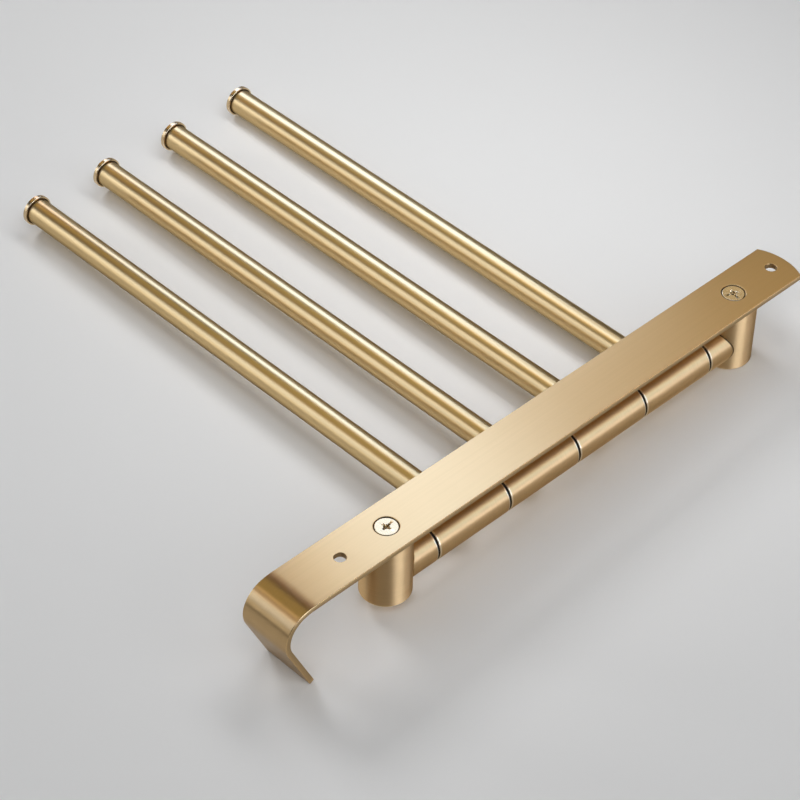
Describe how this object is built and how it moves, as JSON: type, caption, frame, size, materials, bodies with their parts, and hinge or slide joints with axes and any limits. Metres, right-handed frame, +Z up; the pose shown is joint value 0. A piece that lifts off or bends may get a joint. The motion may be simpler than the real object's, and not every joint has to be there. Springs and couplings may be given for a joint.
{
  "type": "swing arm towel bar",
  "caption": "Wall-mounted towel bar in satin gold: a flat plate with a hook at its foot carries an upright axle on posts, and swinging round arms turn on it.",
  "frame": {"origin": "on the plate's back face, which lies on the wall, halfway between the two wall screw holes", "axes": "+Z up along the plate, from the hook to the rounded end; +Y out of the plate's back, into the wall, so the bar stands out toward -Y; +X along the arms as they lie at rest, folded to the right"},
  "size_m": [0.2875, 0.0421, 0.3067],
  "materials": {
    "satin_gold": "brushed satin",
    "cap_gold": "turned, half gloss",
    "screw_gold": "plated, half gloss",
    "plain_steel": "ground",
    "black_nylon": "matte"
  },
  "bodies": {
    "frame": {"wall_plate": "satin_gold", "lower_post": "satin_gold", "upper_post": "satin_gold", "lower_post_screw": "screw_gold", "upper_post_screw": "screw_gold", "axle_rod": "plain_steel", "lower_collar": "satin_gold", "upper_collar": "satin_gold", "washer_1": "black_nylon", "washer_2": "black_nylon", "washer_3": "black_nylon", "washer_4": "black_nylon", "washer_5": "black_nylon"},
    "arm_1": {"arm_1_hub": "satin_gold", "arm_1_stud": "plain_steel", "arm_1_tube": "satin_gold", "arm_1_cap": "cap_gold"},
    "arm_2": {"arm_2_hub": "satin_gold", "arm_2_stud": "plain_steel", "arm_2_tube": "satin_gold", "arm_2_cap": "cap_gold"},
    "arm_3": {"arm_3_hub": "satin_gold", "arm_3_stud": "plain_steel", "arm_3_tube": "satin_gold", "arm_3_cap": "cap_gold"},
    "arm_4": {"arm_4_hub": "satin_gold", "arm_4_stud": "plain_steel", "arm_4_tube": "satin_gold", "arm_4_cap": "cap_gold"}
  },
  "joints": [
    {"name": "arm_1_swing", "type": "hinge", "parent": "frame", "child": "arm_1", "pos_m": [0, -0.0238, -0.0618], "axis": [0, 0, -1], "range_deg": [0, 180]},
    {"name": "arm_2_swing", "type": "hinge", "parent": "frame", "child": "arm_2", "pos_m": [0, -0.0238, -0.0206], "axis": [0, 0, -1], "range_deg": [0, 180]},
    {"name": "arm_3_swing", "type": "hinge", "parent": "frame", "child": "arm_3", "pos_m": [0, -0.0238, 0.0206], "axis": [0, 0, -1], "range_deg": [0, 180]},
    {"name": "arm_4_swing", "type": "hinge", "parent": "frame", "child": "arm_4", "pos_m": [0, -0.0238, 0.0618], "axis": [0, 0, -1], "range_deg": [0, 180]}
  ]
}
